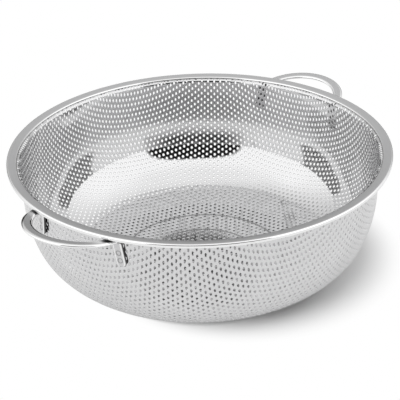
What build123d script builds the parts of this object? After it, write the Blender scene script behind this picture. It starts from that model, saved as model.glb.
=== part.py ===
from build123d import *
import os
from math import asin, atan2, cos, degrees, hypot, pi, radians, sin, sqrt, tan

os.makedirs("parts", exist_ok=True)

# Driving dimensions, in millimetres and degrees. The bowl's axis is Z and the table is Z = 0.
height = 106.0
rim_radius = 145.0

# Rim: a band folded over the bowl's flange. It leans towards the bowl's middle.
rim_width = 7.8
rim_thickness = 3.0
rim_rounding = 1.1
rim_slope = 7.0
rim_wrap = 1.4

# Bowl: one sheet, drawn in one piece. Its radii are those of its outer surface.
sheet = 0.6
wall_radius = 135.4
wall_taper = 0.7
wall_depth = 30.5
flange_bend = 1.8
shoulder_radius = 96.3
shoulder_turn = 18.5
knuckle_radius = 46.0
knuckle_turn = 54.8
outer_step = 65.5
inner_step = 45.0
step_bend = 1.5
step_turn = 45.0

# Drain holes, in rows round the axis, evenly spaced along the section, an even number in each
# row, with none on the planes of symmetry. Each six-sided hole stands for the group of fine
# round holes about it and opens as much of the sheet as they do.
fine_hole = 1.6
fine_pitch = 4.3
first_row = 22.0
row_spacing = 32.5
row_count = 6
hole_spacing = 40.0
hole_reach = 2.4

# Ring foot: a hoop whose flared top follows the bowl and is welded to it.
ring_sheet = 0.8
ring_radius = 81.0
ring_flare = 98.5
ring_bend = 2.8
toe_bend = 1.0
toe_width = 3.0

# Handles: a flat strap with round edges, bent into a half circle with a foot at each end.
strap_width = 7.7
strap_thickness = 2.5
strap_rounding = 1.1
loop_radius = 35.1
loop_centre = 131.0
loop_drop = 6.5
loop_rise = 9.6
fold_radius = 3.4
fold_sections = 4
fold_twist = 11.0
fold_lift = 0.15
foot_drop = 26.5
foot_corner = 3.2
weld_ball = 3.4
weld_depth = 0.45
weld_spots = (5.0, 10.8)
first_loop_angle = 80.0
seating_rounds = 12

# Worked out from these: the rim's outer edge has the full radius and height, and the flange
# lies in the middle of the band, its edge inside the fold.
into_bowl = Vector(-1, 0).rotate(Axis.Z, rim_slope)
off_band = Vector(0, 1).rotate(Axis.Z, rim_slope)
corner_run = rim_width / 2 - rim_rounding
corner_rise = rim_thickness / 2 - rim_rounding
rim_middle = Vector(
    rim_radius - rim_rounding + into_bowl.X * corner_run + off_band.X * corner_rise,
    height - rim_rounding + into_bowl.Y * corner_run - off_band.Y * corner_rise,
)
flange_tip = rim_middle - into_bowl * (rim_width / 2 - rim_wrap) - off_band * (sheet / 2)
flange_end = wall_radius + flange_bend * (1 + off_band.X)
flange_length = (flange_end - flange_tip.X) / into_bowl.X
wall_start = flange_tip.Y + into_bowl.Y * flange_length - flange_bend * off_band.Y
wall_length = wall_start - (height - wall_depth)
wall_lean = radians(wall_taper)
wall_foot = wall_radius + flange_bend * (1 - cos(wall_lean)) - wall_length * sin(wall_lean)
shoulder_centre = wall_foot - shoulder_radius * cos(wall_lean)
knuckle_slope = radians(wall_taper + shoulder_turn)
knuckle_centre = shoulder_centre + (shoulder_radius - knuckle_radius) * cos(knuckle_slope)

# The dish, the terrace inside its step and the middle are parts of spheres centred on the axis.
dish_slope = 90 - wall_taper - shoulder_turn - knuckle_turn
dish_radius = knuckle_radius + knuckle_centre / sin(radians(dish_slope))
outer_slope = degrees(asin(outer_step / dish_radius))
step_run = 2 * step_bend * (sin(radians(outer_slope)) + sin(radians(step_turn - outer_slope)))
terrace_radius = (outer_step - step_run) / sin(radians(outer_slope))
inner_slope = degrees(asin(inner_step / terrace_radius))


def bowl_line(inset):
    """Half the bowl's section from the flange's edge to the axis, this far inside the outer face.

    Every arc starts in line with the one before, and both faces share the arcs' centres.
    """
    flange = PolarLine(flange_tip + off_band * inset, flange_length, direction=into_bowl)
    bend = JernArc(flange @ 1, flange % 1, flange_bend + inset, 90 - wall_taper - rim_slope)
    wall = PolarLine(bend @ 1, wall_length, direction=bend % 1)
    shoulder = JernArc(wall @ 1, wall % 1, shoulder_radius - inset, -shoulder_turn)
    knuckle = JernArc(shoulder @ 1, shoulder % 1, knuckle_radius - inset, -knuckle_turn)
    dish = JernArc(knuckle @ 1, knuckle % 1, dish_radius - inset, outer_slope - dish_slope)
    rise = JernArc(dish @ 1, dish % 1, step_bend - inset, -step_turn)
    landing = JernArc(rise @ 1, rise % 1, step_bend + inset, step_turn)
    terrace = JernArc(landing @ 1, landing % 1, terrace_radius - inset, inner_slope - outer_slope)
    second_rise = JernArc(terrace @ 1, terrace % 1, step_bend - inset, -step_turn)
    second_landing = JernArc(second_rise @ 1, second_rise % 1, step_bend + inset, step_turn)
    middle_radius = (second_landing @ 1).X / sin(radians(inner_slope))
    middle = JernArc(second_landing @ 1, second_landing % 1, middle_radius, -inner_slope)
    return flange @ 0, dish @ 0, middle @ 1


with BuildLine() as outer_face:
    bowl_line(0)
section = outer_face.wires()[0]
open_share = pi / (2 * sqrt(3)) * (fine_hole / fine_pitch) ** 2
hole_radius = sqrt(open_share * row_spacing * hole_spacing * 2 / (3 * sqrt(3)))

with BuildPart() as bowl:
    with BuildSketch(Plane.XZ):
        with BuildLine():
            outer_tip, dish_edge, outer_middle = bowl_line(0)
            inner_tip, _, inner_middle = bowl_line(sheet)
            Line(outer_tip, inner_tip)
            Line(outer_middle, inner_middle)
        make_face()
    revolve(axis=Axis.Z)
    for row in range(row_count):
        from_axis = first_row + row * row_spacing
        place = section.position_at(section.length - from_axis, PositionMode.LENGTH)
        way = section.tangent_at(section.length - from_axis, PositionMode.LENGTH)
        across = Plane((place.X, 0, place.Y), x_dir=(0, 1, 0), z_dir=(-way.Y, 0, way.X))
        pairs = round(pi * place.X / hole_spacing)
        holes = PolarLocations(0, 2 * pairs, start_angle=90 / pairs)
        with BuildSketch(*[Plane(turn * across.location) for turn in holes]):
            RegularPolygon(hole_radius, 6)
        extrude(amount=hole_reach, both=True, mode=Mode.SUBTRACT)
bowl.part.label = "bowl"
export_step(bowl.part, "parts/bowl.step")


# Rim band, open on its inner edge, where the flange goes in.
with BuildPart() as rim_band:
    with BuildSketch(Plane.XZ) as rim_section:
        with Locations((rim_middle.X, rim_middle.Y)):
            Rectangle(rim_width, rim_thickness, rotation=rim_slope)
        fillet(rim_section.vertices(), rim_rounding)
        with Locations((flange_tip.X, flange_tip.Y)):
            Rectangle(
                rim_width, sheet, rotation=rim_slope, align=(Align.MAX, Align.MIN), mode=Mode.SUBTRACT
            )
    revolve(axis=Axis.Z)
rim_band.part.label = "rim_band"
export_step(rim_band.part, "parts/rim_band.step")


# Ring foot. The line runs along the side that touches the bowl: down the flare, around the
# bend into the hoop, and around the toe that the colander stands on.
dish_centre = dish_edge.Y + dish_radius * cos(radians(dish_slope))
bend_slope = degrees(asin((ring_radius - ring_sheet + ring_bend) / (dish_radius + ring_bend)))
bend_height = dish_centre - (dish_radius + ring_bend) * cos(radians(bend_slope))
tip_slope = degrees(asin(ring_flare / dish_radius))
tip_normal = Vector(sin(radians(tip_slope)), -cos(radians(tip_slope)))
down_slope = Vector(-cos(radians(tip_slope)), -sin(radians(tip_slope)))
ring_tip = Vector(0, dish_centre) + tip_normal * dish_radius
hoop_length = bend_height - ring_sheet - toe_bend


def ring_line(outset):
    """Half the foot's section from the flare's tip to the toe, this far from the bowl's side."""
    tip = ring_tip + tip_normal * outset
    flare = JernArc(tip, down_slope, dish_radius + outset, bend_slope - tip_slope)
    top_bend = JernArc(flare @ 1, flare % 1, ring_bend - outset, 90 - bend_slope)
    hoop = PolarLine(top_bend @ 1, hoop_length, direction=top_bend % 1)
    toe = JernArc(hoop @ 1, hoop % 1, toe_bend + outset, -90)
    sole = PolarLine(toe @ 1, toe_width, direction=toe % 1)
    return tip, sole @ 1


with BuildPart() as base_ring:
    with BuildSketch(Plane.XZ):
        with BuildLine():
            upper_tip, upper_toe = ring_line(0)
            lower_tip, lower_toe = ring_line(ring_sheet)
            Line(upper_tip, lower_tip)
            Line(upper_toe, lower_toe)
        make_face()
    revolve(axis=Axis.Z)
base_ring.part.label = "base_ring"
export_step(base_ring.part, "parts/base_ring.step")


# Handles. The loop lies in a plane that rises away from the bowl. At each end the strap
# folds down, and its top face turns to lie on the wall.
loop_plane = Plane(
    origin=(loop_centre, 0, height - loop_drop),
    x_dir=(cos(radians(loop_rise)), 0, sin(radians(loop_rise))),
    z_dir=(-sin(radians(loop_rise)), 0, cos(radians(loop_rise))),
)


def fold_planes(loop_angle, wall_angle):
    """Planes across the strap from the loop's end to the foot.

    The fold turns about a crease along the wall, and in it the strap also turns about the
    wall's normal, so that the foot hangs nearer to upright.
    """
    across = loop_plane.x_dir.rotate(Axis((0, 0, 0), loop_plane.z_dir), loop_angle)
    along = loop_plane.z_dir.cross(across)
    start = loop_plane.origin + across * loop_radius
    to_wall = Vector(
        -cos(radians(wall_taper)) * cos(radians(wall_angle)),
        -cos(radians(wall_taper)) * sin(radians(wall_angle)),
        sin(radians(wall_taper)),
    )
    crease = loop_plane.z_dir.cross(to_wall).normalized()
    whole_turn = loop_plane.z_dir.get_angle(to_wall)
    drift = along.dot(crease)
    inward = (along - crease * drift).normalized()
    lead = drift / along.dot(inward)
    around = Axis((0, 0, 0), crease)
    through = Axis((0, 0, 0), to_wall)
    planes = []
    for k in range(fold_sections):
        share = k / (fold_sections - 1)
        turn = whole_turn * share
        twist = fold_twist * share
        a = radians(turn)
        shift = inward * sin(a) + crease.cross(inward) * (1 - cos(a)) + crease * (lead * a)
        stand_off = to_wall * (fold_lift * sin(pi * share))
        place = start + shift.rotate(through, twist) * fold_radius - stand_off
        side = across.rotate(around, turn).rotate(through, twist)
        way = along.rotate(around, turn).rotate(through, twist)
        planes.append(Plane(place, x_dir=side, z_dir=way))
    return planes


# The angle where the loop ends, and that of the wall under the foot, follow from each other:
# each round brings the middle of the foot nearer to lying on the wall.
loop_angle = first_loop_angle
wall_angle = degrees(asin(loop_radius / wall_radius))
for _ in range(seating_rounds):
    planes = fold_planes(loop_angle, wall_angle)
    foot_top = planes[-1].origin
    foot_way = planes[-1].z_dir
    foot_length = (height - foot_drop - foot_top.Z) / foot_way.Z
    middle = foot_top + foot_way * (foot_length / 2)
    wall_angle = degrees(atan2(middle.Y, middle.X))
    wall_here = wall_radius - (wall_start - middle.Z) * tan(radians(wall_taper))
    gap = hypot(middle.X, middle.Y) - wall_here - strap_thickness / 2
    loop_angle += degrees(gap / loop_radius)

with BuildPart() as handle_right:
    outward = planes[-1].x_dir.cross(planes[-1].z_dir)
    if outward.X < 0:
        outward = -outward
    foot_plane = Plane(foot_top, x_dir=foot_way, z_dir=outward)
    with BuildSketch(foot_plane.offset(-strap_thickness / 2)) as foot_outline:
        Rectangle(foot_length, strap_width, align=(Align.MIN, Align.CENTER))
        fillet(foot_outline.vertices().sort_by(Axis(foot_top, foot_way))[-2:], foot_corner)
    extrude(amount=strap_thickness)
    foot_edges = handle_right.faces().sort_by(Axis(foot_top, outward))[-1].edges()
    fillet(foot_edges.sort_by(Axis(foot_top, foot_way))[1:], strap_rounding)
    for spot in weld_spots:
        face_point = foot_top + foot_way * (foot_length - spot) + outward * (strap_thickness / 2)
        with Locations(face_point + outward * (weld_ball - weld_depth)):
            Sphere(weld_ball, mode=Mode.SUBTRACT)
    for plane in planes:
        with BuildSketch(plane):
            RectangleRounded(strap_width, strap_thickness, strap_rounding)
    loft()
    tip = loop_plane.origin + loop_plane.x_dir * loop_radius
    with BuildSketch(Plane(tip, x_dir=loop_plane.x_dir, z_dir=loop_plane.y_dir)):
        RectangleRounded(strap_width, strap_thickness, strap_rounding)
    revolve(axis=Axis(loop_plane.origin, loop_plane.z_dir), revolution_arc=loop_angle)
    mirror(about=Plane.XZ)
handle_right.part.label = "handle_right"
export_step(handle_right.part, "parts/handle_right.step")

with BuildPart() as handle_left:
    mirror(handle_right.part, about=Plane.YZ)
handle_left.part.label = "handle_left"
export_step(handle_left.part, "parts/handle_left.step")
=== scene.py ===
from math import asin, atan2, cos, hypot, pi, radians, sin, sqrt, tan

import bpy
import numpy as np
from bpy.props import FloatProperty, FloatVectorProperty, PointerProperty
from mathutils import Matrix, Vector


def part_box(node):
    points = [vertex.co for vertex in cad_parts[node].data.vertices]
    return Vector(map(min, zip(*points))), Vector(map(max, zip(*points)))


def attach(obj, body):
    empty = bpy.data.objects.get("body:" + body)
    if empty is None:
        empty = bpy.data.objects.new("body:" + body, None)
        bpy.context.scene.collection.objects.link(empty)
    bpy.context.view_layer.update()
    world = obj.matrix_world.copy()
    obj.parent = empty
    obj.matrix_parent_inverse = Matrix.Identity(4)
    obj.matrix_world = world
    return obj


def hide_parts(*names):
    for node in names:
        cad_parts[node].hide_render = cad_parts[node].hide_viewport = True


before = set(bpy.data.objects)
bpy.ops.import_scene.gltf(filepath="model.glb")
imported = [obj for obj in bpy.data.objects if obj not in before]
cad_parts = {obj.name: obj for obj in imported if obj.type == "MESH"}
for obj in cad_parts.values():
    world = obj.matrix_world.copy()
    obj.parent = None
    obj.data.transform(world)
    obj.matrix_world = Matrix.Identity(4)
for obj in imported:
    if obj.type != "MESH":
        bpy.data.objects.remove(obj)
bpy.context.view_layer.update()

bl_info = {
    "name": "Perforated Colander",
    "version": (1, 0, 0),
    "blender": (4, 5, 0),
    "location": "3D View > Sidebar > Colander",
    "description": "Punched steel colander with a folded rim, strap handles and a ring foot",
    "category": "Object",
}

BAND_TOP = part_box("rim_band")[1]
MM = 0.001
TAU = 2 * pi
WHITE = (1.0, 1.0, 1.0, 1.0)

# Steps round the rim and the ring foot and along the bowl's line, and the number of pieces of its side.
RIM_STEPS, RING_STEPS, LINE_STEPS, SIDES = 480, 360, 20000, 5

# Shares of a steel's roughness between which its surface varies.
POLISH_SPREAD = (0.85, 1.2)

# Shares of a handle's half loop, from its middle, between which the strap goes under the rim and its painted
# shade there grows.
DIVE = (0.8071, 0.8786)

# Corners and sides' middles of a six-sided cell, in whole steps from its centre. STEP is a step's size along
# and across the rows of holes, where their pitch is 1.
STEP = np.array([1 / 4, sqrt(3) / 12])
CELL_EDGE = np.array(
    [(2, 0), (2, 2), (1, 3), (0, 4), (-1, 3), (-2, 2), (-2, 0), (-2, -2), (-1, -3), (0, -4), (1, -3), (2, -2)]
)

# Makes one number of a point's two counts of steps, which are far smaller than its first.
LATTICE_KEY = np.array([100003, 1])


def size(text, default, high=1.0):
    """A length, given in millimetres and kept in metres."""
    return FloatProperty(description=text, default=default * MM, min=0, max=high, unit="LENGTH", precision=4)


def turn(text, default):
    """An angle, given in degrees and kept in radians."""
    return FloatProperty(description=text, default=radians(default), subtype="ANGLE")


def share(text, default):
    """A number from 0 to 1."""
    return FloatProperty(description=text, default=default, min=0.0, max=1.0, subtype="FACTOR")


def tint(text, default):
    """A colour without alpha."""
    return FloatVectorProperty(description=text, default=default, size=3, min=0.0, max=1.0, subtype="COLOR")


class BowlSizes(bpy.types.PropertyGroup):
    """The bowl's section, measured on its outer surface, and the pattern of its holes."""

    sheet: size("Thickness of the sheet", 0.6)
    flange_bend: size("Radius of the bend under the rim", 1.8)
    wall_radius: size("Radius of the wall at its top", 135.4)
    wall_taper: turn("How far the wall leans inwards", 0.7)
    wall_depth: size("Depth below the rim's top where the wall begins to curve", 30.5)
    shoulder_radius: size("Radius of the gentle curve under the wall", 96.3)
    shoulder_turn: turn("Angle of the gentle curve", 18.5)
    knuckle_radius: size("Radius of the tighter curve below it", 46.0)
    knuckle_turn: turn("Angle of the tighter curve", 54.8)
    outer_step: size("Radius of the floor's first step", 65.5)
    inner_step: size("Radius of the floor's second step", 45.0)
    step_bend: size("Radius of the bends at each step", 1.5)
    step_turn: turn("Slope of each step", 45.0)
    pitch: size("Distance between holes before the sheet is drawn", 4.3)
    hole: size("Diameter of a hole before the sheet is drawn", 2.0)
    lip: size("Reach of the rounding that the punch leaves round a hole", 0.38)
    flange_edge: size("Radius out to which the flange is punched", 140.3)
    finer: size("Radius on the blank within which the cells have more points", 68.5)
    # Painted shade: a dark line at each of the floor's press steps, where the bend shades the steel.
    line_reach: size("Distance from a step's middle where its dark line ends", 1.8)
    line_core: size("Distance from there within which the line is whole", 1.0)
    line_dark: share("How far the line's grey covers the steel", 0.6)
    direction: turn("Direction of one row of holes", 32.9)
    colour: tint("Colour of the bowl's steel", (0.78, 0.78, 0.785))
    polish: share("Roughness of the polished sheet", 0.06)


class RimSizes(bpy.types.PropertyGroup):
    """The band that is folded over the bowl's flange."""

    width: size("Width of the band", 7.8)
    thickness: size("Thickness of the band", 3.0)
    rounding: size("Rounding of its edges", 1.1)
    slope: turn("How far the band leans towards the bowl's middle", 7.0)
    wrap: size("Distance of the flange's edge from the band's outer edge", 1.4)
    colour: tint("Colour of the rim and the foot", (0.70, 0.70, 0.705))
    polish: share("Roughness of the satin steel", 0.32)
    edge_polish: share("Roughness of the rounded edges", 0.06)


class RingSizes(bpy.types.PropertyGroup):
    """The ring foot under the bowl, whose flared top follows the sheet."""

    sheet: size("Thickness of the ring's sheet", 0.8)
    radius: size("Outer radius of the hoop", 81.0)
    flare: size("Radius of the flare's edge", 98.5)
    bend: size("Radius of the bend under the flare", 2.8)
    toe_bend: size("Radius of the bend at the table", 1.0)
    toe_width: size("Width of the flat sole", 3.0)


class HandleSizes(bpy.types.PropertyGroup):
    """One strap handle: a half circle with a foot folded down at each end."""

    width: size("Width of the strap", 7.7)
    thickness: size("Thickness of the strap", 2.5)
    rounding: size("Height of the strap's rounded edges", 1.1)
    edge_spread: FloatProperty(description="Width of the strap's edges over their height", default=1.9)
    radius: size("Radius of the loop's middle line", 35.1)
    centre: size("Distance of the loop's centre from the bowl's axis", 131.0)
    loop_drop: size("Depth of the loop's centre below the rim's top", 6.5)
    rise: turn("Slope of the loop's plane", 9.6)
    fold: size("Radius of the fold at each end", 3.4)
    twist: turn("Turn of the strap about the wall's normal in the fold", 11.0)
    lift: size("How far the fold stands off the wall at its middle", 0.15)
    foot_drop: size("Depth of the feet below the rim's top", 26.5)
    foot_corner: size("Rounding of a foot's corners", 3.2)
    weld_ball: size("Radius of the electrode that pressed each weld", 3.4)
    weld_depth: size("Depth of each weld's mark", 0.45)
    weld_near: size("Distance of the lower weld from the foot's end", 5.0)
    weld_far: size("Distance of the upper weld from the foot's end", 10.8)
    weld_dark: share("How dark the edge of each weld is", 0.6)
    weld_blur: size("How far that darkness reaches", 0.35)
    # Painted shade: how far the strap's colour is darkened along the wall and under the rim, where shade
    # falls.
    painted_seam_shade: share("How dark the strap is along the wall and under the rim", 0.95)
    colour: tint("Colour of the handles", (0.70, 0.70, 0.705))
    polish: share("Roughness of the handles", 0.3)
    edge_polish: share("Roughness of the rounded edges", 0.06)


class StageSizes(bpy.types.PropertyGroup):
    """The camera, the floor and the light."""

    bearing: turn("Where the camera stands round the bowl's axis", 219.1)
    distance: size("Distance of the camera from the bowl's axis", 718.5, high=10.0)
    level: size("Height of the camera over the floor", 455.2, high=10.0)
    aim: size("Height on the bowl's axis that the camera looks at", 59.2)
    roll: turn("Turn of the camera about its line of sight", 1.74)
    lens: FloatProperty(description="Focal length in millimetres", default=94.79, min=1.0)
    shift: FloatVectorProperty(description="Shift of the picture", default=(-0.0023, -0.0011), size=2)
    floor_reach: size("Distance of the floor's sides from the axis", 6000, high=20.0)
    floor_colour: tint("Colour of the floor", (0.72, 0.72, 0.72))
    floor_shine: share("How far the steel shows the floor as plain white", 0.2)
    shadow_reach: size("Distance from the shadow's middle where the floor is plain white", 130)
    shadow_core: size("Distance from there within which the whole shadow shows", 90)
    shadow_right: size("The shadow's middle, right of the bowl's axis", 35)
    shadow_away: size("The shadow's middle, beyond the bowl's axis", 20)
    surroundings: share("Strength of the surroundings on the floor", 0.33)
    opening_side: turn("Where the tent's opening lies, round from the camera", 4.0)
    key_power: FloatProperty(description="Strength of the soft sun", default=2.7, min=0.0)
    key_width: turn("Width of the soft sun, which softens the shadow", 70.0)
    key_side: turn("Where the sun stands, round from the camera", -12.0)
    key_height: turn("How high the sun stands", 62.0)


def walk(start, heading, legs, distance):
    """Places and headings at these distances along legs that run on from each other.

    A leg of length l turns evenly by a. At distance t along it, the heading has turned by a t / l, and the
    place is the leg's start plus a chord of length t sin(x) / x, x being half that turn, in the direction
    half way between the two headings. A straight leg is one whose turn is nothing.
    """
    lengths, turns = np.array(legs).T
    ends = np.append(0, np.cumsum(lengths))
    headings = heading + np.append(0, np.cumsum(turns))

    def chord(length, first, turned):
        long = length * np.sinc(turned / TAU)
        way = first + turned / 2
        return np.stack([long * np.cos(way), long * np.sin(way)], -1)

    corners = np.array(start) + np.vstack([(0, 0), np.cumsum(chord(lengths, headings[:-1], turns), 0)])
    leg = np.clip(np.searchsorted(ends, distance, side="right") - 1, 0, len(legs) - 1)
    past = distance - ends[leg]
    turned = turns[leg] / lengths[leg] * past
    return corners[leg] + chord(past, headings[leg], turned), headings[leg] + turned


def arc(radius, angle):
    """A round leg for walk: its length, and its turn, which is positive to the left."""
    return radius * abs(angle), angle


def band_frame(rim):
    """Middle of the band's section, and the ways across it: into the bowl, and up off the band."""
    inward = np.array([-cos(rim.slope), -sin(rim.slope)])
    upward = np.array([-sin(rim.slope), cos(rim.slope)])
    run, rise = rim.width / 2 - rim.rounding, rim.thickness / 2 - rim.rounding
    corner = np.array([BAND_TOP.x, BAND_TOP.z]) - rim.rounding
    return corner + inward * run + upward * (rise, -rise), inward, upward


def bowl_legs(bowl, rim):
    """Start and legs of the bowl's outer line, from the flange's hidden edge to the axis.

    Two more values are the height of the wall's top and the radius of the dish. The dish, the terrace and the
    middle are parts of spheres whose centres lie on the axis.
    """
    middle, inward, upward = band_frame(rim)
    taper, bend, step = bowl.wall_taper, bowl.flange_bend, bowl.step_bend
    start = middle - inward * (rim.width / 2 - rim.wrap) - upward * (bowl.sheet / 2)
    flange = (bowl.wall_radius + bend * (1 + upward[0]) - start[0]) / inward[0]
    wall_top = start[1] + inward[1] * flange - bend * upward[1]
    wall = wall_top - (BAND_TOP.z - bowl.wall_depth)
    wall_foot = bowl.wall_radius + bend * (1 - cos(taper)) - wall * sin(taper)
    slope = taper + bowl.shoulder_turn
    knuckle_centre = wall_foot - bowl.shoulder_radius * cos(taper)
    knuckle_centre += (bowl.shoulder_radius - bowl.knuckle_radius) * cos(slope)
    dish_slope = pi / 2 - slope - bowl.knuckle_turn
    dish = bowl.knuckle_radius + knuckle_centre / sin(dish_slope)

    def past_step(place, radius):
        """Slope of the sphere where it meets the step, and the radius of the sphere inside the step."""
        steep = asin(place / radius)
        inside = place - 2 * step * (sin(steep) + sin(bowl.step_turn - steep))
        return steep, inside / sin(steep)

    outer_slope, terrace = past_step(bowl.outer_step, dish)
    inner_slope, middle_radius = past_step(bowl.inner_step, terrace)
    rise = [arc(step, -bowl.step_turn), arc(step, bowl.step_turn)]
    legs = [
        (flange, 0),
        arc(bend, pi / 2 - taper - rim.slope),
        (wall, 0),
        arc(bowl.shoulder_radius, -bowl.shoulder_turn),
        arc(bowl.knuckle_radius, -bowl.knuckle_turn),
        arc(dish, outer_slope - dish_slope),
        *rise,
        arc(terrace, inner_slope - outer_slope),
        *rise,
        arc(middle_radius, -inner_slope),
    ]
    return start, legs, wall_top, dish


class DrawnSheet:
    """The bowl's sheet: takes places on the flat blank to places on the drawn bowl.

    Drawing keeps the sheet's thickness, so it keeps areas: half the square of a place's radius on the blank
    is the integral of the bowl's radius along its section, from the axis out to where that place ends up.
    """

    def __init__(self, bowl, rim):
        self.start, self.legs, _, self.dish = bowl_legs(bowl, rim)
        self.heading = pi + rim.slope
        self.distance = np.linspace(0, sum(length for length, _ in self.legs), LINE_STEPS + 1)[::-1]
        radius = self.at(self.distance)[0][:, 0]
        strips = (radius[1:] + radius[:-1]) / 2 * -np.diff(self.distance)
        self.blank_radius = np.sqrt(2 * np.append(0, np.cumsum(strips)))
        to_dish = sum(length for length, _ in self.legs[:5])
        edge = self.at(np.array([to_dish]))[0][0]
        self.dish_centre = edge[1] + sqrt(self.dish**2 - edge[0] ** 2)

    def at(self, distance):
        """Places and headings at these distances along the outer line."""
        return walk(self.start, self.heading, self.legs, distance)

    def blank_reach(self, radius):
        """Radius on the blank of the place on the flange that lies at this radius."""
        flange = self.distance < self.legs[0][0]
        along = self.at(self.distance)[0][:, 0]
        return float(np.interp(radius, along[flange], self.blank_radius[flange]))

    def place(self, blank, depth):
        """Places this deep under the outer face, and the face's normals there."""
        reach = np.hypot(blank[..., 0], blank[..., 1])
        line, heading = self.at(np.interp(reach, self.blank_radius, self.distance))
        about = blank / np.maximum(reach, 1e-9)[..., None]
        out, up = -np.sin(heading), np.cos(heading)
        radius = line[..., 0] - out * depth
        normal = np.concatenate([about * out[..., None], up[..., None]], -1)
        places = np.concatenate([about * radius[..., None], (line[..., 1] - up * depth)[..., None]], -1)
        return places, normal


def mesh_from(name, places, quads, material, normals=None, uv=None, uv_name="OFBake"):
    """A smooth piece from arrays of places and of four-cornered faces, with a uv place for each corner."""
    mesh = bpy.data.meshes.new(name)
    mesh.vertices.add(len(places))
    mesh.vertices.foreach_set("co", np.asarray(places, np.float32).ravel())
    mesh.loops.add(quads.size)
    mesh.loops.foreach_set("vertex_index", quads.ravel().astype(np.int32))
    mesh.polygons.add(len(quads))
    mesh.polygons.foreach_set("loop_start", np.arange(0, quads.size, quads.shape[1], dtype=np.int32))
    mesh.polygons.foreach_set("use_smooth", np.ones(len(quads), bool))
    mesh.update(calc_edges=True)
    if uv is not None:
        mesh.uv_layers.new(name=uv_name).uv.foreach_set("vector", np.asarray(uv, np.float32).ravel())
    if normals is not None:
        mesh.normals_split_custom_set_from_vertices(np.asarray(normals, np.float32))
    mesh.materials.append(material)
    piece = bpy.data.objects.new(name, mesh)
    bpy.context.scene.collection.objects.link(piece)
    return piece


def settle(piece, node):
    """Lets a piece ride on the one body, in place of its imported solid."""
    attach(piece, "root")
    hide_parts(node)


def ring_quads(rows, columns):
    """Faces of a grid of points that is closed both ways, as places in the flattened grid."""
    row, column = np.meshgrid(np.arange(rows), np.arange(columns), indexing="ij")
    below, beside = (row + 1) % rows, (column + 1) % columns
    row, below = row * columns, below * columns
    return np.stack([row + column, row + beside, below + beside, below + column], -1).reshape(-1, 4)


def revolved(name, section, material, edge, around):
    """A closed section of points (radius, height), turned about the axis in this many even steps.

    The first number of the map named edge is 1 at the section's rounded points and 0 at the others.
    """
    angle = np.arange(around)[:, None] / around * TAU
    radius, height = section.T
    places = np.stack([np.cos(angle) * radius, np.sin(angle) * radius, height + 0 * angle], -1)
    faces = ring_quads(around, len(section))
    uv = np.stack([np.tile(edge, around)[faces], 0 * faces], -1)
    piece = mesh_from(name, places.reshape(-1, 3), faces, material, uv=uv, uv_name="edge")
    piece.data.set_sharp_from_angle(angle=radians(50))
    return piece


def cell_centres(pitch, reach):
    """Centres of the close-packed cells within reach, in whole steps."""
    span = int(reach / pitch * 2 / sqrt(3)) + 1
    i, j = np.meshgrid(np.arange(-span, span + 1), np.arange(-span, span + 1))
    steps = np.stack([4 * i + 2 * j, 6 * j], -1).reshape(-1, 2)
    return steps[np.linalg.norm(steps * STEP * pitch, axis=-1) < reach]


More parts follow.
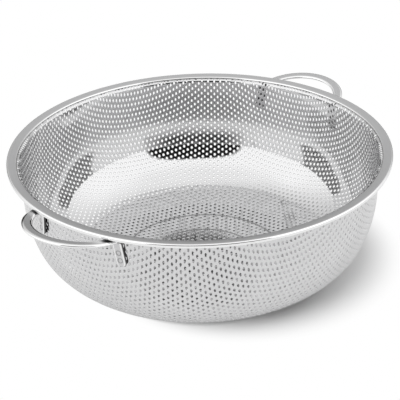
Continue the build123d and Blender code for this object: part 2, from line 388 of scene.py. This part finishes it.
def punched_sheet(name, bowl, sheet, steps, rings, material):
    """A closed piece of the sheet, made of six-sided cells with a hole in each.

    The surface of a cell is a function of two parameters. One goes round the hole in twelfths. The other
    goes from the cell's edge over the outer face, through the hole, and back over the inner face to the edge;
    rings gives, for each of its values, how far the ring lies from the cell's edge towards the hole's edge,
    the hole's radius there, the depth under the outer face and the normal's tilt. Cells share their edges.
    """
    around = len(CELL_EDGE)
    angle = np.arange(around) / around * TAU
    toward = np.stack([np.cos(angle), np.sin(angle)], -1)
    step = STEP * bowl.pitch
    part, radius, depth, tilt = (np.array(values)[:, None] for values in zip(*rings))
    offset = CELL_EDGE * step * (1 - part[..., None]) + toward * (radius * part)[..., None]
    turned, across = cos(bowl.direction), sin(bowl.direction)
    spin = np.array([[turned, across], [-across, turned]])
    centre = (steps * step @ spin)[:, None, None]
    blank = centre + offset @ spin
    depths = np.broadcast_to(depth, blank.shape[:-1])
    places, normal = sheet.place(blank, depths)

    # A hole's wall faces its centre, along the sheet.
    inward = sheet.place(centre + 0 * blank, depths)[0] - places
    inward -= normal * (inward * normal).sum(-1, keepdims=True)
    inward /= np.linalg.norm(inward, axis=-1, keepdims=True)
    normals = normal * np.cos(tilt)[..., None] + inward * np.sin(tilt)[..., None]

    # Points on the cells' edges are shared by whole steps, once on each face.
    cells, count = len(steps), len(rings)
    index = np.arange(cells * count * around).reshape(cells, count, around)
    lattice = steps[:, None] + CELL_EDGE
    _, first, back = np.unique(lattice @ LATTICE_KEY, return_index=True, return_inverse=True)
    cell, corner = np.divmod(first[back.reshape(cells, around)], around)
    index[:, 0] = cell * count * around + corner
    index[:, -1] = (cell * count + count - 1) * around + corner

    after = np.roll(np.arange(around), -1)
    quads = np.stack([index[:, :-1], index[:, 1:], index[:, 1:, after], index[:, :-1, after]], -1)

    # The sheet's own map: the blank as seen from below, with each hole's wall folded into its hole, and the
    # blank again for the inner face beside it.
    low = blank.reshape(-1, 2).min(0)
    flat = blank - low
    extent = flat.reshape(-1, 2).max(0) + bowl.pitch
    wall = next(k for k, ring in enumerate(rings) if ring[2] > bowl.sheet / 2)
    starts = flat.copy()
    starts[:, wall:, :, 0] += extent[0]
    ends = starts.copy()
    ends[:, wall] = (flat[:, wall] + centre[:, 0] - low) / 2
    starts, ends = starts[:, :-1], ends[:, 1:]
    uv = np.stack([starts, ends, ends[:, :, after], starts[:, :, after]], 3) / max(2 * extent[0], extent[1])

    # Where a cell has no neighbour, a strip closes the sheet's edge.
    a, c = index[:, 0], index[:, -1]
    b, d = a[:, after], c[:, after]
    pair = np.minimum(a, b) * index.size + np.maximum(a, b)
    _, where, times = np.unique(pair, return_index=True, return_counts=True)
    alone = where[times == 1]
    strip = np.stack([v.ravel()[alone] for v in (a, b, d, c)], -1)

    faces = np.concatenate([quads.reshape(-1, 4), strip])
    uv = np.concatenate([uv.reshape(-1, 2), np.repeat(uv.reshape(-1, 2)[:1], 4 * len(strip), 0)])
    used, faces = np.unique(faces, return_inverse=True)
    places, normals = places.reshape(-1, 3)[used], normals.reshape(-1, 3)[used]
    return mesh_from(name, places, faces.reshape(-1, 4), material, normals, uv)


NUMBER, VECTOR, COLOUR = "NodeSocketFloat", "NodeSocketVector", "NodeSocketColor"
VECTOR_MATH = "ShaderNodeVectorMath"


def new_group(name, inputs, outputs):
    """An empty shader node group, what it is given, and what it is to put out."""
    group = bpy.data.node_groups.new(name, "ShaderNodeTree")
    for label, kind, default in inputs:
        socket = group.interface.new_socket(name=label, in_out="INPUT", socket_type=kind)
        if default is not None:
            socket.default_value = default
    for label, kind in outputs:
        group.interface.new_socket(name=label, in_out="OUTPUT", socket_type=kind)
    return group, group.nodes.new("NodeGroupInput").outputs, group.nodes.new("NodeGroupOutput").inputs


def add_node(tree, kind, values=None, **options):
    """A node with its options, and its inputs set to the values given or linked to the sockets given."""
    node = tree.nodes.new(kind)
    for key, value in options.items():
        setattr(node, key, value)
    for key, value in (values or {}).items():
        if isinstance(value, bpy.types.NodeSocket):
            tree.links.new(value, node.inputs[key])
        else:
            node.inputs[key].default_value = value
    return node


def calc(tree, operation, *inputs, kind="ShaderNodeMath", output="Value"):
    """The output of a Math or Vector Math node whose inputs are numbers, vectors or sockets."""
    return add_node(tree, kind, dict(enumerate(inputs)), operation=operation).outputs[output]


def ramp(tree, source, low, high, to_low=0.0, to_high=1.0, kind="LINEAR"):
    """A number that goes from to_low to to_high as the source goes from low to high."""
    ends = {"Value": source, "From Min": low, "From Max": high, "To Min": to_low, "To Max": to_high}
    return add_node(tree, "ShaderNodeMapRange", ends, interpolation_type=kind).outputs["Result"]


def mixed(tree, factor, one, other, kind="RGBA"):
    """A mix of two colours or numbers, which is the other where the factor is 1."""
    values = {"Factor": factor, "A": one, "B": other}
    return add_node(tree, "ShaderNodeMix", values, data_type=kind).outputs["Result"]


def turned_grain_group():
    """Grain that runs round the bowl's axis, as turning and polishing leave it.

    Noise is read at the point's radius, its height and its angle about the axis. The first two are scaled up
    and the angle hardly, so that each fleck is long and thin.
    """
    group, given, made = new_group(
        "Turned Grain",
        [("Vector", VECTOR, None), ("Fineness", NUMBER, 2500.0), ("Length", NUMBER, 30.0)],
        [("Height", NUMBER), ("Mask", NUMBER)],
    )
    x, y, z = add_node(group, "ShaderNodeSeparateXYZ", {"Vector": given["Vector"]}).outputs
    across, along = (calc(group, "MULTIPLY", axis, axis) for axis in (x, y))
    radius = calc(group, "POWER", calc(group, "ADD", across, along), 0.5)
    angle = calc(group, "ARCTAN2", y, x)
    parts = ((radius, "Fineness"), (z, "Fineness"), (angle, "Length"))
    scaled = [calc(group, "MULTIPLY", value, given[factor]) for value, factor in parts]
    place = add_node(group, "ShaderNodeCombineXYZ", dict(enumerate(scaled))).outputs["Vector"]
    values = {"Vector": place, "Scale": 1.0, "Detail": 3.0, "Roughness": 0.6}
    noise = add_node(group, "ShaderNodeTexNoise", values).outputs["Fac"]
    group.links.new(noise, made["Height"])
    group.links.new(ramp(group, noise, 0.35, 0.65), made["Mask"])
    return group


def handling_group():
    """Faint smears and cloudiness left by washing and handling, as one mask and one colour."""
    group, given, made = new_group(
        "Handling Marks",
        [("Vector", VECTOR, None), ("Colour", COLOUR, (0.8, 0.8, 0.8, 1.0)), ("Amount", NUMBER, 0.06)],
        [("Colour", COLOUR), ("Mask", NUMBER)],
    )
    values = {"Vector": given["Vector"], "Scale": 22.0, "Detail": 4.0, "Roughness": 0.55}
    noise = add_node(group, "ShaderNodeTexNoise", {**values, "Distortion": 0.6})
    cloud = ramp(group, noise.outputs["Fac"], 0.3, 0.7)
    grey = calc(group, "SUBTRACT", 1.0, calc(group, "MULTIPLY", cloud, given["Amount"]))
    values = {"Factor": 1.0, "A": given["Colour"], "B": grey}
    darker = add_node(group, "ShaderNodeMix", values, data_type="RGBA", blend_type="MULTIPLY")
    group.links.new(darker.outputs["Result"], made["Colour"])
    group.links.new(cloud, made["Mask"])
    return group


def edges_group():
    """Rounded edges that are smoother than the flats and whose colour is lifted as a painted highlight, and
    seams darkened as painted shade.
    """
    group, given, made = new_group(
        "Edges And Seams",
        [("Map", VECTOR, None), ("Colour", COLOUR, (0.7, 0.7, 0.7, 1.0))]
        + [("Roughness", NUMBER, 0.3), ("Edge Roughness", NUMBER, 0.06)],
        [("Colour", COLOUR), ("Roughness", NUMBER)],
    )
    rounded, seam, _ = add_node(group, "ShaderNodeSeparateXYZ", {"Vector": given["Map"]}).outputs
    rough = mixed(group, rounded, given["Roughness"], given["Edge Roughness"], "FLOAT")
    # Painted highlight: the rounded edges' colour is lifted towards white. Painted shade: the seam map
    # darkens the colour towards black.
    painted_edge_highlight = mixed(group, ramp(group, rounded, 0.9, 1.0), given["Colour"], (0.97, 0.97, 0.97, 1.0))
    group.links.new(mixed(group, seam, painted_edge_highlight, (0.03, 0.03, 0.03, 1.0)), made["Colour"])
    group.links.new(rough, made["Roughness"])
    return group


def placed_group(tree, name, maker, values):
    """The outputs of a node group, which is made the first time, with these values for its inputs."""
    group = bpy.data.node_groups.get(name) or maker()
    return add_node(tree, "ShaderNodeGroup", values, node_tree=group).outputs


def steel(name, finish, scratch, smear, fineness=2600.0, length=20.0):
    """Steel with this colour and polish, whose grain runs round the axis.

    Scratch is the grain's depth and smear the clouds' strength. Where the finish has an edge_polish, the map
    named edge gives how rounded the surface is, which also lifts its colour as a painted highlight, and how
    much painted seam shade it has.
    """
    material = bpy.data.materials.new(name)
    material.use_nodes = True
    tree = material.node_tree
    place = add_node(tree, "ShaderNodeTexCoord").outputs["Object"]
    values = {"Vector": place, "Fineness": fineness, "Length": length}
    grain = placed_group(tree, "Turned Grain", turned_grain_group, values)
    values = {"Vector": place, "Colour": (*finish.colour, 1.0), "Amount": smear}
    marks = placed_group(tree, "Handling Marks", handling_group, values)
    uneven = calc(tree, "MULTIPLY", calc(tree, "ADD", grain["Mask"], marks["Mask"]), 0.5)
    rough = ramp(tree, uneven, 0.0, 1.0, *(finish.polish * share for share in POLISH_SPREAD))
    surface = {"Colour": marks["Colour"], "Roughness": rough}
    if hasattr(finish, "edge_polish"):
        edge_map = add_node(tree, "ShaderNodeUVMap", uv_map="edge").outputs["UV"]
        values = {"Map": edge_map, "Edge Roughness": finish.edge_polish, **surface}
        surface = placed_group(tree, "Edges And Seams", edges_group, values)
    bump = {"Strength": 1.0, "Distance": scratch, "Height": grain["Height"]}
    shader = tree.nodes["Principled BSDF"].inputs
    shader["Metallic"].default_value = 1.0
    tree.links.new(surface["Colour"], shader["Base Color"])
    tree.links.new(surface["Roughness"], shader["Roughness"])
    tree.links.new(add_node(tree, "ShaderNodeBump", bump).outputs["Normal"], shader["Normal"])
    return material


class COLANDER_OT_bowl(bpy.types.Operator):
    """Build the punched bowl, in a floor and five sides that share one sheet"""

    bl_idname = "colander.bowl"
    bl_label = "Bowl"

    def painted_step_shade(self, tree, bowl):
        """Painted shade darkens the floor's two press steps, in a thin grey ring for each, where the step's
        bend shades the steel.
        """
        place = add_node(tree, "ShaderNodeTexCoord").outputs["Object"]
        level = calc(tree, "MULTIPLY", place, (1.0, 1.0, 0.0), kind=VECTOR_MATH, output="Vector")
        out = calc(tree, "LENGTH", level, kind=VECTOR_MATH)
        rings = []
        for radius in (bowl.outer_step, bowl.inner_step):
            middle = radius - bowl.step_bend * sin(bowl.step_turn)
            away = calc(tree, "ABSOLUTE", calc(tree, "SUBTRACT", out, middle))
            rings.append(ramp(tree, away, bowl.line_reach, bowl.line_core, 0.0, bowl.line_dark))
        colour = tree.nodes["Principled BSDF"].inputs["Base Color"]
        # Painted shade: each step's ring blends the steel's colour towards grey.
        grey = (0.3, 0.3, 0.3, 1.0)
        toned = mixed(tree, calc(tree, "MAXIMUM", *rings), colour.links[0].from_socket, grey)
        tree.links.new(toned, colour)

    def rings(self, bowl, between=()):
        """A cell's rings, with more of them on each face, at these parts of the way to the hole."""
        hole, lip, thick = bowl.hole / 2, bowl.lip, bowl.sheet
        parts = (0.0, *between, 1.0)
        outer_face = [(part, hole + lip, 0.0, 0.0) for part in parts]
        wall = [(1.0, hole, lip / 2, pi / 4), (1.0, hole, thick - lip / 2, pi * 3 / 4)]
        inner_face = [(part, hole + lip, thick, pi) for part in parts[::-1]]
        return outer_face + wall + inner_face

    def execute(self, context):
        bowl, rim = context.scene.colander_bowl, context.scene.colander_rim
        sheet = DrawnSheet(bowl, rim)
        material = steel("perforated_steel", bowl, scratch=0.4e-6, smear=0.05, fineness=1500.0, length=12.0)
        self.painted_step_shade(material.node_tree, bowl)
        steps = cell_centres(bowl.pitch, sheet.blank_reach(bowl.flange_edge))
        x, y = (steps * STEP * bowl.pitch).T
        floor = np.hypot(x, y) < bowl.finer
        sector = np.floor(np.arctan2(y, x) % TAU / TAU * SIDES)
        parts = [("bowl_floor", floor, self.rings(bowl, (0.25, 0.5, 0.75)))]
        parts += [(f"bowl_side_{k + 1}", ~floor & (sector == k), self.rings(bowl)) for k in range(SIDES)]
        for name, chosen, rings in parts:
            piece = punched_sheet(name, bowl, sheet, steps[chosen], rings, material)
            settle(piece, "bowl")
        return {"FINISHED"}


def slotted_section(rim, slot, points=13):
    """The band's section, anticlockwise: a rectangle with round corners and a slot in its inner edge.

    Its first number grows outwards and its second upwards. The two inner corners' arcs end at the slot. The
    second array is 1 at the arcs' points, but not at those next to the two flats, nor at the slot's bottom.
    """
    run, rise = rim.width / 2 - rim.rounding, rim.thickness / 2 - rim.rounding
    cut = asin(max(slot / 2 - rise, 0) / rim.rounding)
    corners = [
        (-run, -rise, pi + cut, pi * 3 / 2),
        (run, -rise, pi * 3 / 2, TAU),
        (run, rise, 0, pi / 2),
        (-run, rise, pi / 2, pi - cut),
    ]
    arcs = []
    for x, y, first, last in corners:
        angle = np.linspace(first, last, points)
        arcs.append(np.stack([x + rim.rounding * np.cos(angle), y + rim.rounding * np.sin(angle)], -1))
    end = rim.width / 2 - rim.wrap
    section = np.concatenate([*arcs, [(end, slot / 2), (end, -slot / 2)]])
    edge = np.ones(len(section))
    edge[[points - 1, points, 3 * points - 1, 3 * points, -2, -1]] = 0
    return section, edge


class COLANDER_OT_rim(bpy.types.Operator):
    """Build the rim band, with the slot that the bowl's flange goes into"""

    bl_idname = "colander.rim"
    bl_label = "Rim"

    def execute(self, context):
        bowl, rim = context.scene.colander_bowl, context.scene.colander_rim
        middle, inward, upward = band_frame(rim)
        flat, edge = slotted_section(rim, bowl.sheet)
        section = middle - inward * flat[:, :1] + upward * flat[:, 1:]
        material = steel("satin_steel", rim, scratch=0.8e-6, smear=0.04)
        settle(revolved("rim_band", section, material, edge, RIM_STEPS), "rim_band")
        return {"FINISHED"}


class COLANDER_OT_ring(bpy.types.Operator):
    """Build the ring foot, whose flare follows the bowl"""

    bl_idname = "colander.ring"
    bl_label = "Ring foot"

    def execute(self, context):
        scene = context.scene
        bowl, rim, ring = scene.colander_bowl, scene.colander_rim, scene.colander_ring
        sheet = DrawnSheet(bowl, rim)
        dish, centre = sheet.dish, sheet.dish_centre
        bend_slope = asin((ring.radius - ring.sheet + ring.bend) / (dish + ring.bend))
        tip_slope = asin(ring.flare / dish)
        tip = (ring.flare, centre - dish * cos(tip_slope))
        bend_level = centre - (dish + ring.bend) * cos(bend_slope)
        legs = [
            arc(dish, bend_slope - tip_slope),
            arc(ring.bend, pi / 2 - bend_slope),
            (bend_level - ring.sheet - ring.toe_bend, 0),
            arc(ring.toe_bend, -pi / 2),
            (ring.toe_width, 0),
        ]
        corners = np.append(0, np.cumsum([length for length, _ in legs]))
        spans = zip(corners, corners[1:], (16, 12, 3, 10, 4))
        distance = np.concatenate([np.linspace(*span, endpoint=False) for span in spans] + [corners[-1:]])
        line, heading = walk(tip, pi + tip_slope, legs, distance)
        out = np.stack([-np.sin(heading), np.cos(heading)], -1)
        section = np.concatenate([line, (line + out * ring.sheet)[::-1]])
        material = bpy.data.materials.get("satin_steel")
        piece = revolved("base_ring", section, material, np.zeros(len(section)), RING_STEPS)
        settle(piece, "base_ring")
        return {"FINISHED"}


def unit(vector):
    """The vector made one long."""
    return vector / np.linalg.norm(vector)


def turned_about(axis, angles, vector):
    """Vectors turned about a unit axis by each angle: the part along the axis stays, and the rest turns."""
    along = axis * (vector @ axis)[..., None]
    cosine, sine = np.cos(angles)[..., None], np.sin(angles)[..., None]
    return along + (vector - along) * cosine + np.cross(axis, vector) * sine


class Strap:
    """Where one half of a handle's strap runs, from the middle of its loop to the end of its foot.

    The loop is an arc in a plane that rises away from the bowl. At its end the strap folds about a crease,
    which lies in both the loop's plane and the wall's, and drifts along that crease as a helix does. In the
    fold it also turns about the wall's normal, so that the foot hangs nearer to upright. The angle at which
    the loop ends and the bearing of the wall under the foot follow from each other, so each round brings the
    middle of the foot nearer to lying on the wall.
    """

    def __init__(self, handle, bowl, wall_top):
        self.handle = handle
        self.origin = np.array([handle.centre, 0, BAND_TOP.z - handle.loop_drop])
        self.outward = np.array([cos(handle.rise), 0, sin(handle.rise)])
        self.above = np.array([-sin(handle.rise), 0, cos(handle.rise)])
        # A first guess, which the rounds improve.
        self.loop_angle, bearing = radians(80), radians(15)
        for _ in range(12):
            self.set_fold(bowl.wall_taper, bearing)
            (top,), _, _, (way,) = self.fold_at(np.ones(1))
            self.foot_length = (BAND_TOP.z - handle.foot_drop - top[2]) / way[2]
            middle = top + way * self.foot_length / 2
            bearing = atan2(middle[1], middle[0])
            wall = bowl.wall_radius - (wall_top - middle[2]) * tan(bowl.wall_taper)
            self.loop_angle += (hypot(middle[0], middle[1]) - wall - handle.thickness / 2) / handle.radius

    def set_fold(self, taper, bearing):
        """The crease, how far the strap turns about it, and how fast it drifts along it."""
        self.across = turned_about(self.above, self.loop_angle, self.outward)
        self.along = np.cross(self.above, self.across)
        self.start = self.origin + self.across * self.handle.radius
        self.to_wall = np.array([-cos(taper) * cos(bearing), -cos(taper) * sin(bearing), sin(taper)])
        self.crease = unit(np.cross(self.above, self.to_wall))
        self.whole_turn = np.arccos(self.above @ self.to_wall)
        drift = self.along @ self.crease
        self.inward = unit(self.along - self.crease * drift)
        self.lead = drift / (self.along @ self.inward)

    def fold_at(self, share):
        """Places on the strap's middle line at these shares of the fold, and its three ways there."""
        turned, twist = share * self.whole_turn, share * self.handle.twist
        bent = self.inward * np.sin(turned)[:, None] + self.crease * (self.lead * turned)[:, None]
        bent += np.cross(self.crease, self.inward) * (1 - np.cos(turned))[:, None]
        places = self.start + turned_about(self.to_wall, twist, bent) * self.handle.fold
        places -= self.to_wall * (self.handle.lift * np.sin(pi * share))[:, None]
        ways = [
            turned_about(self.to_wall, twist, turned_about(self.crease, turned, way))
            for way in (self.across, self.above, self.along)
        ]
        return places, *ways

    def half(self, along_loop, along_fold, along_foot):
        """Places, ways across and ways up, for shares of the loop, the fold and the foot."""
        loop_across = turned_about(self.above, along_loop * self.loop_angle, self.outward)
        loop = self.origin + loop_across * self.handle.radius, loop_across, 0 * loop_across + self.above
        fold = self.fold_at(along_fold)
        (top,), across, above, (way,) = self.fold_at(np.ones(1))
        foot_places = top + way * (along_foot * self.foot_length)[:, None]
        foot = foot_places, 0 * foot_places + across, 0 * foot_places + above
        return [np.concatenate(parts) for parts in zip(loop, fold, foot)]


def strap_mesh(name, handle, strap, side, material):
    """A strap's surface: one parameter runs along the strap and the other round its section.

    The section is a rectangle whose edges are rounded as quarter ellipses, wider than high. Towards a foot's
    end its half width and half thickness shrink as the corner's arc and the edge's arc do, and on the foot's
    outer face each weld sinks by a ball's cap. The map named edge says how round the surface is and how dark;
    that darkness is painted seam shade plus the welds' marks.
    """
    # Steps along the loop, the fold, the foot and its round end, and round a corner and the section's sides.
    loop_steps, fold_steps, foot_steps, curl_steps, arc_steps, flat, thin = 59, 15, 39, 15, 6, 16, 3
    corner, edge = handle.foot_corner, handle.rounding
    curl = np.linspace(0, pi / 2, curl_steps + 1)[:0:-1]
    straight = np.linspace(0, 1 - corner / strap.foot_length, foot_steps + 1)[1:-1]
    foot_share = np.append(straight, 1 - corner * (1 - np.cos(curl)) / strap.foot_length)
    loop_share, fold_share = np.linspace(0, 1, loop_steps + 1), np.linspace(0, 1, fold_steps + 1)[1:]
    places, across, above = strap.half(loop_share, fold_share, foot_share)
    row = np.arange(len(places))
    folded, on_foot = row > loop_steps, row > loop_steps + fold_steps
    dive = np.interp(row / loop_steps, DIVE, (0, 1))
    from_end = np.full(len(places), corner)
    from_end[on_foot] = strap.foot_length * (1 - foot_share)

    def narrowed(half, radius):
        """Half a width, which shrinks along an arc of this radius at the foot's end."""
        return half - radius + np.sqrt(radius**2 - (radius - np.minimum(from_end, radius)) ** 2)

    wide = narrowed(handle.width / 2, corner)
    thick = np.maximum(narrowed(handle.thickness / 2, edge), handle.thickness / 2 - edge + 1e-5)
    mirror = np.array([1, -1, 1])
    places, across, above = (np.concatenate([v[:0:-1] * mirror, v]) for v in (places, across, above))
    halves = (wide, thick, from_end, folded, on_foot, dive)
    wide, thick, from_end, folded, on_foot, dive = (np.append(v[:0:-1], v)[:, None] for v in halves)

    # Points round the section: a quarter arc at each corner, with the flats between them split evenly.
    corners = np.array([(1, 1), (-1, 1), (-1, -1), (1, -1)])
    arc_angle = np.linspace(0, pi / 2, arc_steps + 1)
    ways, ends = [], []
    for k, steps in enumerate((flat, thin, flat, thin)):
        onward = np.linspace(0, 1, steps + 1)[1:-1]
        angle = np.append(arc_angle, np.full(len(onward), pi / 2)) + k * pi / 2
        part = np.append(0 * arc_angle, onward)[:, None]
        ways.append(np.stack([np.cos(angle), np.sin(angle)], -1))
        ends.append(corners[k] * (1 - part) + corners[(k + 1) % 4] * part)
    (way_x, way_y), (corner_x, corner_y) = np.concatenate(ways).T, np.concatenate(ends).T
    bend, reach = (
        np.minimum(edge * part, np.minimum(wide, thick * part) - 1e-6) for part in (1, handle.edge_spread)
    )
    x = corner_x * (wide - reach) + way_x * reach
    y = corner_y * (thick - bend) + way_y * bend

    # Painted shade darkens the seam along the wall, and the top where it goes under the rim; each weld's rim
    # is darkened as a weld mark.
    top, not_outer = (way_y > 0.1) * (way_x < 0.4), way_y > -0.6
    dark = handle.painted_seam_shade * np.maximum(dive * top, folded * not_outer)
    outer_face = on_foot & (way_y < -0.999)
    ball, sunk = handle.weld_ball, handle.weld_depth
    for spot in (handle.weld_near, handle.weld_far):
        away = np.hypot(x, from_end - spot)
        dent = np.sqrt(np.maximum(ball**2 - away**2, 0)) - (ball - sunk)
        y = y + np.where(outer_face, np.maximum(dent, 0), 0)
        past_rim = away - sqrt(2 * ball * sunk - sunk**2)
        mark = handle.weld_dark * np.exp(-((past_rim / handle.weld_blur) ** 2))
        dark = np.maximum(dark, np.where(outer_face, mark, 0))
    grid = places[:, None] + across[:, None] * x[..., None] + above[:, None] * y[..., None]
    grid = grid * np.array([side, side, 1])

    # Each end of the tube is closed by faces that join the points on either side of its middle.
    rows, columns = x.shape
    quads = ring_quads(rows, columns)[: (rows - 1) * columns][:, ::-1]
    pair = np.arange(columns // 2 - 1)
    ring = (np.arange(columns) + arc_steps + flat // 2) % columns
    cap = np.stack([ring[pair], ring[pair + 1], ring[-2 - pair], ring[-1 - pair]], -1)
    faces = np.concatenate([quads, cap, (cap + (rows - 1) * columns)[:, ::-1]])
    rounded = (np.abs(way_x) > 0.1).astype(float)
    uv = np.stack(np.broadcast_arrays(rounded, dark), -1).reshape(-1, 2)[faces]
    return mesh_from(name, grid.reshape(-1, 3), faces, material, uv=uv, uv_name="edge")


class COLANDER_OT_handles(bpy.types.Operator):
    """Build the two strap handles"""

    bl_idname = "colander.handles"
    bl_label = "Handles"

    def execute(self, context):
        scene = context.scene
        bowl, rim, handle = scene.colander_bowl, scene.colander_rim, scene.colander_handles
        strap = Strap(handle, bowl, bowl_legs(bowl, rim)[2])
        material = steel("handle_steel", handle, scratch=0.5e-6, smear=0.05)
        for name, side in (("handle_right", 1), ("handle_left", -1)):
            settle(strap_mesh(name, handle, strap, side, material), name)
        return {"FINISHED"}


class COLANDER_OT_stage(bpy.types.Operator):
    """Set the floor, the light and the camera"""

    bl_idname = "colander.stage"
    bl_label = "Stage"

    def execute(self, context):
        stage = context.scene.colander_stage
        for build in (self.floor, self.surroundings, self.lamps, self.camera):
            build(context, stage)
        context.scene.view_settings.view_transform = "Standard"
        return {"FINISHED"}

    def floor(self, context, stage):
        """A floor that shows the shadow near the colander and elsewhere is plain white to the eye.

        White grows with the distance from the shadow's middle, smoothly from the core to the reach, and there
        is none inside the ring foot, where the bowl's holes show the shade below it. The steel mirrors a
        share of it.
        """
        corners = stage.floor_reach * np.array([(-1, -1, 0), (1, -1, 0), (1, 1, 0), (-1, 1, 0)])
        material = bpy.data.materials.new("white_floor")
        material.use_nodes = True
        tree = material.node_tree
        shader = tree.nodes["Principled BSDF"]
        shader.inputs["Base Color"].default_value = (*stage.floor_colour, 1.0)
        shader.inputs["Roughness"].default_value = 1.0
        shader.inputs["Specular IOR Level"].default_value = 0.0

        facing = Matrix.Rotation(stage.bearing, 3, "Z")
        middle = facing @ Vector((-stage.shadow_away, stage.shadow_right, 0.0))
        place = add_node(tree, "ShaderNodeTexCoord").outputs["Object"]
        apart = calc(tree, "DISTANCE", place, middle, kind=VECTOR_MATH)
        growth = ramp(tree, apart, stage.shadow_core, stage.shadow_reach, kind="SMOOTHSTEP")
        foot = context.scene.colander_ring.radius
        inner, outer = foot - 3 * MM, foot + 5 * MM
        outside = ramp(tree, calc(tree, "LENGTH", place, kind=VECTOR_MATH), inner, outer)

        path = add_node(tree, "ShaderNodeLightPath").outputs
        mirrored = calc(tree, "MULTIPLY", path["Is Glossy Ray"], stage.floor_shine)
        either = calc(tree, "MAXIMUM", path["Is Camera Ray"], mirrored)
        white = calc(tree, "MULTIPLY", calc(tree, "MULTIPLY", growth, outside), either)
        glow = add_node(tree, "ShaderNodeEmission", {"Color": WHITE, "Strength": 1.0}).outputs["Emission"]
        blend = add_node(tree, "ShaderNodeMixShader", {"Fac": white, 1: shader.outputs["BSDF"], 2: glow})
        tree.links.new(blend.outputs["Shader"], tree.nodes["Material Output"].inputs["Surface"])
        mesh_from("floor", corners, np.array([[0, 1, 2, 3]]), material)

    def surroundings(self, context, stage):
        """A white tent that is open, and so dark, where the camera stands.

        Read as a direction with x towards the camera and z up. The opening is |y/w|^p + |z/h|^p under 1 on
        the camera's side, and fades in what is mirrored a third time. The tent greys towards the far side as
        x falls, and towards its top, and a dark gap runs low down at the far side.
        """
        world = context.scene.world = bpy.data.worlds.new("surroundings")
        world.use_nodes = True
        tree = world.node_tree
        path = add_node(tree, "ShaderNodeLightPath").outputs
        place = add_node(tree, "ShaderNodeTexCoord").outputs["Generated"]
        values = {"Vector": place, "Angle": -stage.bearing - stage.opening_side}
        turned = add_node(tree, "ShaderNodeVectorRotate", values, rotation_type="Z_AXIS").outputs["Vector"]
        x, y, z = add_node(tree, "ShaderNodeSeparateXYZ", {"Vector": turned}).outputs

        def smooth(source, ends, levels=(0.0, 1.0)):
            """A smooth step from one level to the other between these ends of the source."""
            return ramp(tree, source, *ends, *levels, kind="SMOOTHSTEP")

        def product(first, *factors):
            """The product of these sockets."""
            for factor in factors:
                first = calc(tree, "MULTIPLY", first, factor)
            return first

        half_width, half_height, power = 0.56, 0.72, 2.5
        terms = []
        for axis, half in ((y, half_width), (z, half_height)):
            term = calc(tree, "ABSOLUTE", calc(tree, "DIVIDE", axis, half))
            terms.append(calc(tree, "POWER", term, power))
        depth = path["Glossy Depth"]
        opening = product(
            smooth(calc(tree, "ADD", *terms), (1.1, 0.9)),
            smooth(x, (0.0, 0.1)),
            smooth(depth, (3.0, 2.0), (0.6, 1.0)),
        )
        gap = product(smooth(x, (-0.5, -0.85)), smooth(z, (0.28, 0.24)))
        lit = product(
            smooth(x, (-1.05, 0.0), (0.54, 1.19)),
            smooth(z, (0.75, 1.0), (1.0, 0.86)),
            calc(tree, "SUBTRACT", 1.0, calc(tree, "MAXIMUM", opening, gap)),
            smooth(depth, (1.0, 3.0), (1.0, 0.72)),
        )
        lit = calc(tree, "ADD", lit, 0.01)
        lit = mixed(tree, path["Is Diffuse Ray"], lit, stage.surroundings, "FLOAT")
        background = tree.nodes["Background"].inputs
        background["Color"].default_value = WHITE
        tree.links.new(mixed(tree, path["Is Camera Ray"], lit, 1.0, "FLOAT"), background["Strength"])

    def lamps(self, context, stage):
        """A soft sun, which casts the shadow. The steel mirrors the tent and not the sun."""
        light = bpy.data.lights.new("key_light", "SUN")
        light.energy = stage.key_power
        light.angle = stage.key_width
        lamp = bpy.data.objects.new("key_light", light)
        side, rise = stage.bearing + stage.key_side, stage.key_height
        spot = Vector((cos(side) * cos(rise), sin(side) * cos(rise), sin(rise)))
        lamp.location = spot
        lamp.rotation_euler = (-spot).to_track_quat("-Z", "Y").to_euler()
        lamp.visible_camera = lamp.visible_glossy = False
        context.scene.collection.objects.link(lamp)

    def camera(self, context, stage):
        """A camera that looks at a place on the bowl's axis, a little rolled."""
        lens = bpy.data.cameras.new("camera")
        lens.lens = stage.lens
        lens.shift_x, lens.shift_y = stage.shift
        camera = bpy.data.objects.new("camera", lens)
        context.scene.collection.objects.link(camera)
        way = Vector((cos(stage.bearing), sin(stage.bearing), 0))
        place = way * stage.distance + Vector((0, 0, stage.level))
        forward = (Vector((0, 0, stage.aim)) - place).normalized()
        right = Matrix.Rotation(stage.roll, 3, forward) @ forward.cross(Vector((0, 0, 1))).normalized()
        turned = Matrix((right, right.cross(forward), -forward)).transposed()
        camera.matrix_world = Matrix.Translation(place) @ turned.to_4x4()
        context.scene.camera = camera


class COLANDER_PT_panel(bpy.types.Panel):
    """Lists the colander's sizes, finishes and pieces"""

    bl_label = "Colander"
    bl_space_type = "VIEW_3D"
    bl_region_type = "UI"
    bl_category = "Colander"

    def draw(self, context):
        for part in PARTS:
            box = self.layout.box()
            settings = getattr(context.scene, f"colander_{part}")
            for name in settings.__annotations__:
                box.prop(settings, name, text=name.replace("_", " ").capitalize())
            box.operator(f"colander.{part}")


# Each part's settings are a property of the scene, and its operator builds it.
PARTS = dict(bowl=BowlSizes, rim=RimSizes, ring=RingSizes, handles=HandleSizes, stage=StageSizes)
OPERATORS = (COLANDER_OT_bowl, COLANDER_OT_rim, COLANDER_OT_ring, COLANDER_OT_handles, COLANDER_OT_stage)


def register():
    for kind in (*PARTS.values(), *OPERATORS, COLANDER_PT_panel):
        bpy.utils.register_class(kind)
    for part, kind in PARTS.items():
        setattr(bpy.types.Scene, f"colander_{part}", PointerProperty(type=kind))


def unregister():
    for part in PARTS:
        delattr(bpy.types.Scene, f"colander_{part}")
    for kind in reversed((*PARTS.values(), *OPERATORS, COLANDER_PT_panel)):
        bpy.utils.unregister_class(kind)


def main():
    register()
    for part in PARTS:
        getattr(bpy.ops.colander, part)()


if __name__ == "__main__":
    main()
